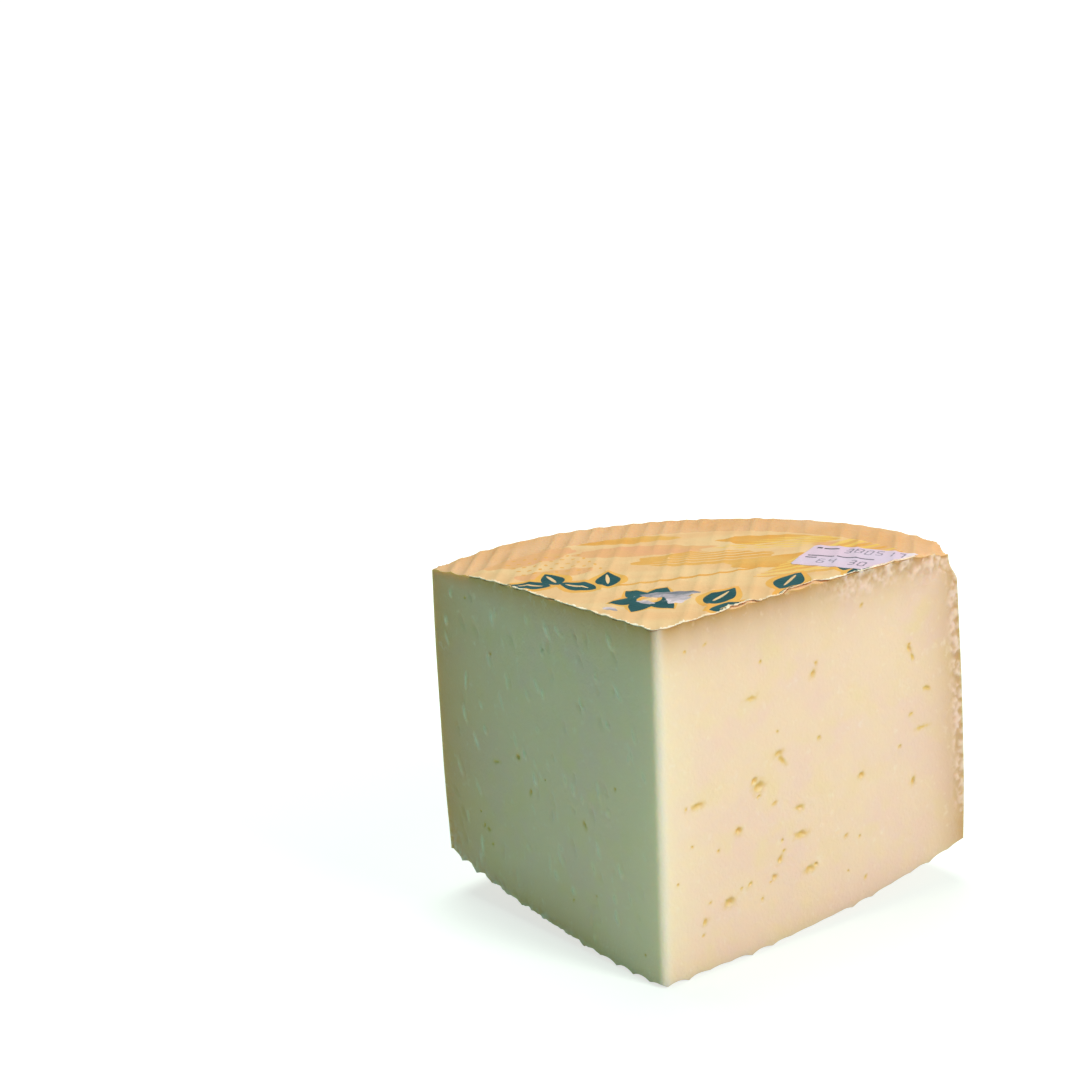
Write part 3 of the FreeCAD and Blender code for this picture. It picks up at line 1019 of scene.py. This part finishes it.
def thick(points, triangles, inks, thickness, edge_ink):
    """The sheet with its underside and edges: a closed thin solid."""
    count = len(points)
    below = points - [0, 0, thickness]
    edges = [(face[i], face[(i + 1) % 3]) for face in triangles.tolist() for i in range(3)]
    edges = dict.fromkeys(edges)
    rim = [(start, end) for start, end in edges if (end, start) not in edges]
    walls = [(start, start + count, end + count, end) for start, end in rim]
    faces = triangles.tolist() + (triangles[:, ::-1] + count).tolist() + walls
    colours = np.concatenate([inks, inks, np.full(len(walls), edge_ink)])
    return np.concatenate([points, below]), faces, colours


# How the paper lies: pressed into the flutes but bridging them a little, blistered where it
# is scuffed, and curled up with its white inside where it tore at the right cut.
FLUTES_BRIDGED = 0.45
PAPER_WAVES = (0.05, 7, 31)
# Torn spots: distance along the right cut, the half widths where the curl starts to fade
# and has gone, and the share of the full curl.
TORN_SPOTS = [(28.5, 3, 6, 1.0), (50, 5, 9, 0.7)]
CURL_WIDTH = (0.2, 3)
CURL_HEIGHT = 0.2
CURL_LUMPS = (0.3, 1.8, 36)
SCUFF_MIDDLE = (-2, 15)
SCUFF_HALF_SIZE = (9, 6)
BLISTER_HEIGHT = 0.15
BLISTER_LUMPS = (0.4, 2.2, 35)
FRAYED_WIDTH = 0.35
FRAYED_LUMPS = (0.5, 2.2, 33)
FRAYED_AT_TEARS = 1.5


def label_level(places, lift):
    """The height of the paper over places, lifted off the ridges by its thickness."""
    x, y = places.T
    bridged = FLUTES_BRIDGED * flute(x, y, TOP_FLUTE_DEPTH, TOP_SEED)
    waves = lumps(np.stack([x, y, 0 * x], 1), [PAPER_WAVES])
    return top_height(x, y) + bridged + lift + waves


def edge_distance(places):
    """How far places on the label lie inside the cuts."""
    from_tip = places - near_edge(WHEEL_HEIGHT)
    return np.minimum(-from_tip @ cut_facing(-1), -from_tip @ cut_facing(1))


def torn_part(places):
    """How much the paper is torn: 1 at the middle of a spot at the right cut, 0 elsewhere."""
    along = (places - near_edge(WHEEL_HEIGHT)) @ cut_way(1)
    torn = [
        most * (1 - ease(abs(along - middle), start, end))
        for middle, start, end, most in TORN_SPOTS
    ]
    return np.maximum.reduce(torn) * (places[:, 0] > 0)


def curled(points):
    """How far the torn paper stands up over its own level."""
    curl = torn_part(points[:, :2]) * (1 - ease(edge_distance(points[:, :2]), *CURL_WIDTH))
    return curl * (CURL_HEIGHT + lumps(points, [CURL_LUMPS]))


outline = label_outline()
grid = flute_grid(ALL_RIDGES, np.arange(*LABEL_REACH, LABEL_GRAIN))
flat, triangles, inks = printed_sheet(outline, label_print, CREAM, grid)
middles = flat[triangles].mean(1)
spots = np.column_stack([middles, 0 * middles[:, 0]])
frayed = FRAYED_WIDTH + lumps(spots, [FRAYED_LUMPS]) + FRAYED_AT_TEARS * torn_part(middles)
inks[edge_distance(middles) < frayed] = FRAYED
points = np.column_stack([flat, label_level(flat, LABEL_THICKNESS)])
scuff = 1 - ease(np.hypot(*((flat - SCUFF_MIDDLE) / SCUFF_HALF_SIZE).T), 0.5, 1.1)
points[:, 2] += scuff * (BLISTER_HEIGHT + lumps(points, [BLISTER_LUMPS]))
points[:, 2] += curled(points)
corners, faces, inks = thick(points, triangles, inks, LABEL_THICKNESS - LABEL_CLEARANCE, FRAYED)


def paper(name, looks, other, gloss):
    """Printed paper in one ink: slightly blotched, with the fine grain of its fibres."""
    finish, tree, shader = new_finish(name)
    ink = over(tree, colour(*looks), patches(tree, 9, 0.4, 0.64, 3, (0.4, 1, 1)), colour(*other))
    link(tree, ink, shader.inputs["Base Color"])
    shader.inputs["Roughness"].default_value = gloss
    rough_surface(tree, shader, patches(tree, 1.1, 0.3, 0.7, 3), 0.06)
    return finish


def paper_piece(name, corners, faces, inks, finishes):
    """The finished paper: every face gets the material of its ink."""
    mesh = bpy.data.meshes.new(name)
    mesh.from_pydata(((corners + wheel_axis) * MM).tolist(), [], faces)
    for finish in finishes:
        mesh.materials.append(finish)
    mesh.polygons.foreach_set("material_index", inks.astype(np.int32))
    mesh.shade_smooth()
    mesh.set_sharp_from_angle(angle=math.radians(60))
    piece = bpy.data.objects.new(name, mesh)
    put_in_scene(piece)
    return piece


# Each ink in two tones, with its roughness.
label = paper_piece("label", corners, faces, inks, [
    paper("label_cream", (245, 203, 148), (243, 192, 136), 0.38),
    paper("label_peach", (238, 180, 118), (240, 174, 124), 0.38),
    paper("label_amber", (236, 166, 72), (238, 180, 94), 0.38),
    paper("label_yellow", (247, 194, 84), (247, 204, 116), 0.38),
    paper("label_teal", (34, 74, 80), (50, 92, 98), 0.3),
    paper("label_halo", (242, 182, 84), (244, 174, 78), 0.38),
    paper("label_frayed", (253, 238, 212), (246, 218, 180), 0.7),
    paper("label_scuffed", (236, 214, 220), (130, 128, 140), 0.22),
])
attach(label, "root")
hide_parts("top_label")

# The sticker.  A small lilac paper stuck on the label with its upper edge turned a little,
# and cut off with it.  It carries plain bars where lines of type would stand, and a plain
# number stamped in grey.
STICKER_LENGTH = 31
STICKER_WIDTH = 18.5
STICKER_THICKNESS = 0.15
STICKER_CLEARANCE = 0.02
STICKER_CORNER = np.array([35, 59.5])
STICKER_TURN = -19
STICKER_ROUNDING = 1.5
STICKER_EDGE_STEP = 0.3
STICKER_GRAIN = 0.9
STICKER_RIDGES = (5, 15)
STICKER_REACH = (30, 64)
CUT_OVERHANG = 0.1
CUT_POINTS = 60
CUT_WOBBLE = (0.25, 1.6, 41)
LILAC, STAMPED, BLACK, PALE = range(4)
# Plain bars: both ends, counted from the sticker's upper left corner, and the thickness.
BARS = [
    (1.6, -2.6, 3.2, -2.6, 1.1), (3.8, -2.7, 8.2, -2.7, 0.9), (1.6, -9.4, 9.4, -9.4, 0.7),
    (10.2, -9.4, 21, -9.4, 0.7), (1.6, -11.2, 5, -11.2, 0.7),
]
PALE_END = [(26, -18), (31, -18), (31, 0), (27.5, 0)]
# A stamped digit is made of short bars, from a at the top round to f, with g in the middle.
# Their ends are given in digit widths and half heights.
SEGMENTS = {
    "0": "abcdef", "1": "bc", "3": "abcdg", "4": "bcfg", "5": "acdfg", "6": "acdefg",
    "7": "abc", "8": "abcdefg", " ": "",
}
SEGMENT_ENDS = {
    "a": (0, 2, 1, 2), "b": (1, 2, 1, 1), "c": (1, 1, 1, 0), "d": (0, 0, 1, 0),
    "e": (0, 1, 0, 0), "f": (0, 2, 0, 1), "g": (0, 1, 1, 1),
}
SEGMENT_GAP = 0.07
SEGMENT_THICKNESS = 0.5
DIGIT_PITCH = 1.75
DIGIT_SHIFTS = (-0.1, 0.25)


def on_sticker(shape):
    return turned_to(shape, *STICKER_CORNER, STICKER_TURN)


def bar(ax, ay, bx, by, thickness):
    """A straight bar from a to b."""
    way = np.array([bx - ax, by - ay]) / math.hypot(bx - ax, by - ay)
    across = np.array([-way[1], way[0]]) * thickness / 2
    start, end = np.array([ax, ay]), np.array([bx, by])
    return on_sticker([start - across, end - across, end + across, start + across])


def stamped(number, x, y, wide, high):
    """The bars of a stamped number, its digits a little apart and unevenly set."""
    bars = []
    for place, digit in enumerate(number):
        left, low = x + place * wide * DIGIT_PITCH, y + DIGIT_SHIFTS[place % 2]
        for segment in SEGMENTS[digit]:
            ax, ay, bx, by = SEGMENT_ENDS[segment]
            run, up = (bx - ax) * SEGMENT_GAP, (by - ay) * SEGMENT_GAP
            start = (left + (ax + run) * wide, low + (ay + up) * high / 2)
            end = (left + (bx - run) * wide, low + (by - up) * high / 2)
            bars.append((STAMPED, bar(*start, *end, SEGMENT_THICKNESS)))
    return bars


# The card with its rounded corners, then without what lies beyond the right cut, and last
# with the uneven edge that the knife left.
near, far = STICKER_ROUNDING, STICKER_LENGTH - STICKER_ROUNDING
top, bottom = -STICKER_ROUNDING, STICKER_ROUNDING - STICKER_WIDTH
card = []
for quarter, (x, y) in enumerate([(far, top), (near, top), (near, bottom), (far, bottom)]):
    way = np.linspace(0, math.pi / 2, 6) + quarter * math.pi / 2
    card.append([x, y] + STICKER_ROUNDING * np.stack([np.cos(way), np.sin(way)], 1))
card = closely(on_sticker(np.concatenate(card)), STICKER_EDGE_STEP)
beyond = (card - near_edge(WHEEL_HEIGHT)) @ cut_facing(1) > -CUT_OVERHANG
first_beyond = int(np.argmax(beyond & ~np.roll(beyond, 1)))
card = np.roll(card, -first_beyond, 0)[int(beyond.sum()):]
cut_edge = np.linspace(card[-1], card[0], CUT_POINTS)[1:-1]
wobble = lumps(np.column_stack([cut_edge, 0 * cut_edge[:, 0]]), [CUT_WOBBLE])
card = np.concatenate([card, cut_edge + wobble[:, None] * cut_facing(1)])

sticker_print = [(BLACK, bar(*line)) for line in BARS]
sticker_print.append((PALE, closely(on_sticker(PALE_END), 1)))
sticker_print += stamped("380517", 10.5, -5.2, 1.7, 3.6) + stamped("64 30", 6.5, -15.6, 1.7, 3.4)
grid = flute_grid(STICKER_RIDGES, np.arange(*STICKER_REACH, STICKER_GRAIN))
flat, triangles, inks = printed_sheet(card, sticker_print, LILAC, grid)
points = np.column_stack([flat, label_level(flat, LABEL_THICKNESS + STICKER_THICKNESS)])
points[:, 2] += curled(points)
corners, faces, inks = thick(points, triangles, inks, STICKER_THICKNESS - STICKER_CLEARANCE, PALE)
sticker = paper_piece("sticker", corners, faces, inks, [
    paper("sticker_lilac", (226, 196, 214), (222, 200, 220), 0.5),
    paper("sticker_stamp", (128, 116, 132), (160, 144, 162), 0.6),
    paper("sticker_bars", (62, 58, 70), (84, 78, 92), 0.5),
    paper("sticker_pale", (236, 220, 226), (228, 206, 218), 0.6),
])
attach(sticker, "root")
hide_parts("date_sticker")
